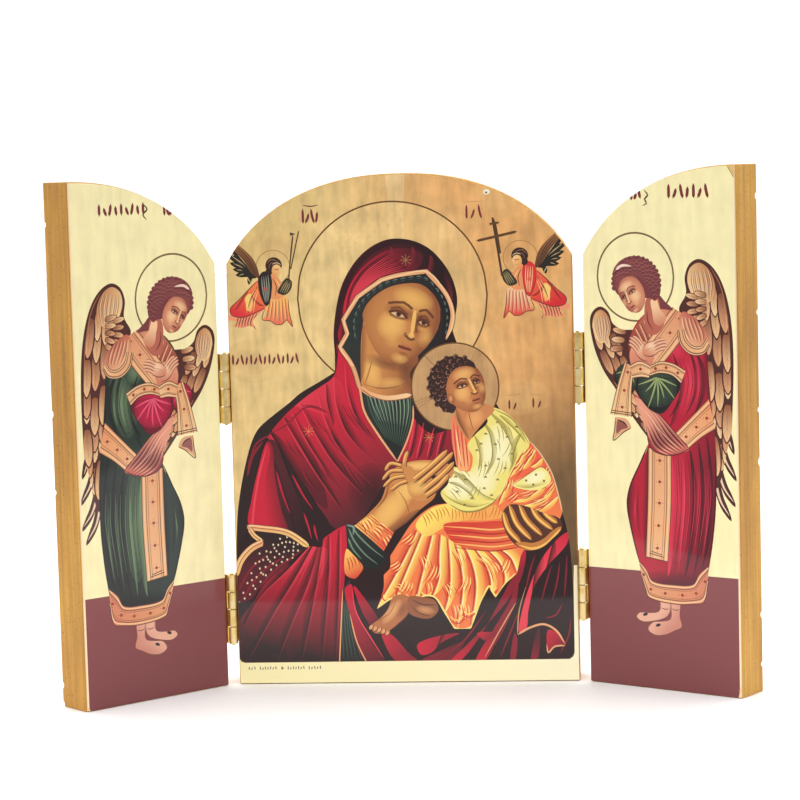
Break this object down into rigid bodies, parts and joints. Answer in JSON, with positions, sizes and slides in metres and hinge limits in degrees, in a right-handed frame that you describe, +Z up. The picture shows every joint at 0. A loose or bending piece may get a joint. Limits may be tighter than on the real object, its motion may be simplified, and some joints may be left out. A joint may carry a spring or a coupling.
{
  "type": "folding triptych icon",
  "caption": "Small standing triptych icon: an arched centre board with a printed picture on a gold ground, and half-arched wings on brass butt hinges.",
  "frame": {"origin": "middle of the centre board's underside", "axes": "+Z up, -Y out of the centre picture towards the viewer, +X to the viewer's right"},
  "size_m": [0.1922, 0.0472, 0.144],
  "materials": {
    "painted_wood": "ochre paint, satin, worn at the corners",
    "printed_sheet": "print on gold foil paper under a glossy varnish",
    "brass": "brass plated, bright"
  },
  "bodies": {
    "centre": {"centre_board": "painted_wood", "centre_print": "printed_sheet", "left_lower_hinge_pin": "brass", "left_lower_hinge_centre_leaf": "brass", "left_lower_hinge_centre_nail_1": "brass", "left_lower_hinge_centre_nail_2": "brass", "left_upper_hinge_pin": "brass", "left_upper_hinge_centre_leaf": "brass", "left_upper_hinge_centre_nail_1": "brass", "left_upper_hinge_centre_nail_2": "brass", "right_lower_hinge_pin": "brass", "right_lower_hinge_centre_leaf": "brass", "right_lower_hinge_centre_nail_1": "brass", "right_lower_hinge_centre_nail_2": "brass", "right_upper_hinge_pin": "brass", "right_upper_hinge_centre_leaf": "brass", "right_upper_hinge_centre_nail_1": "brass", "right_upper_hinge_centre_nail_2": "brass"},
    "left_wing": {"left_wing_board": "painted_wood", "left_wing_print": "printed_sheet", "left_lower_hinge_wing_leaf": "brass", "left_lower_hinge_wing_nail_1": "brass", "left_lower_hinge_wing_nail_2": "brass", "left_upper_hinge_wing_leaf": "brass", "left_upper_hinge_wing_nail_1": "brass", "left_upper_hinge_wing_nail_2": "brass"},
    "right_wing": {"right_wing_board": "painted_wood", "right_wing_print": "printed_sheet", "right_lower_hinge_wing_leaf": "brass", "right_lower_hinge_wing_nail_1": "brass", "right_lower_hinge_wing_nail_2": "brass", "right_upper_hinge_wing_leaf": "brass", "right_upper_hinge_wing_nail_1": "brass", "right_upper_hinge_wing_nail_2": "brass"}
  },
  "joints": [
    {"name": "left_wing_hinge", "type": "hinge", "parent": "centre", "child": "left_wing", "pos_m": [-0.04965, -0.00745, 0], "axis": [0, 0, 1], "range_deg": [-45.2, 134.8]},
    {"name": "right_wing_hinge", "type": "hinge", "parent": "centre", "child": "right_wing", "pos_m": [0.04965, -0.00745, 0], "axis": [0, 0, -1], "range_deg": [-31.7, 148.3]}
  ]
}
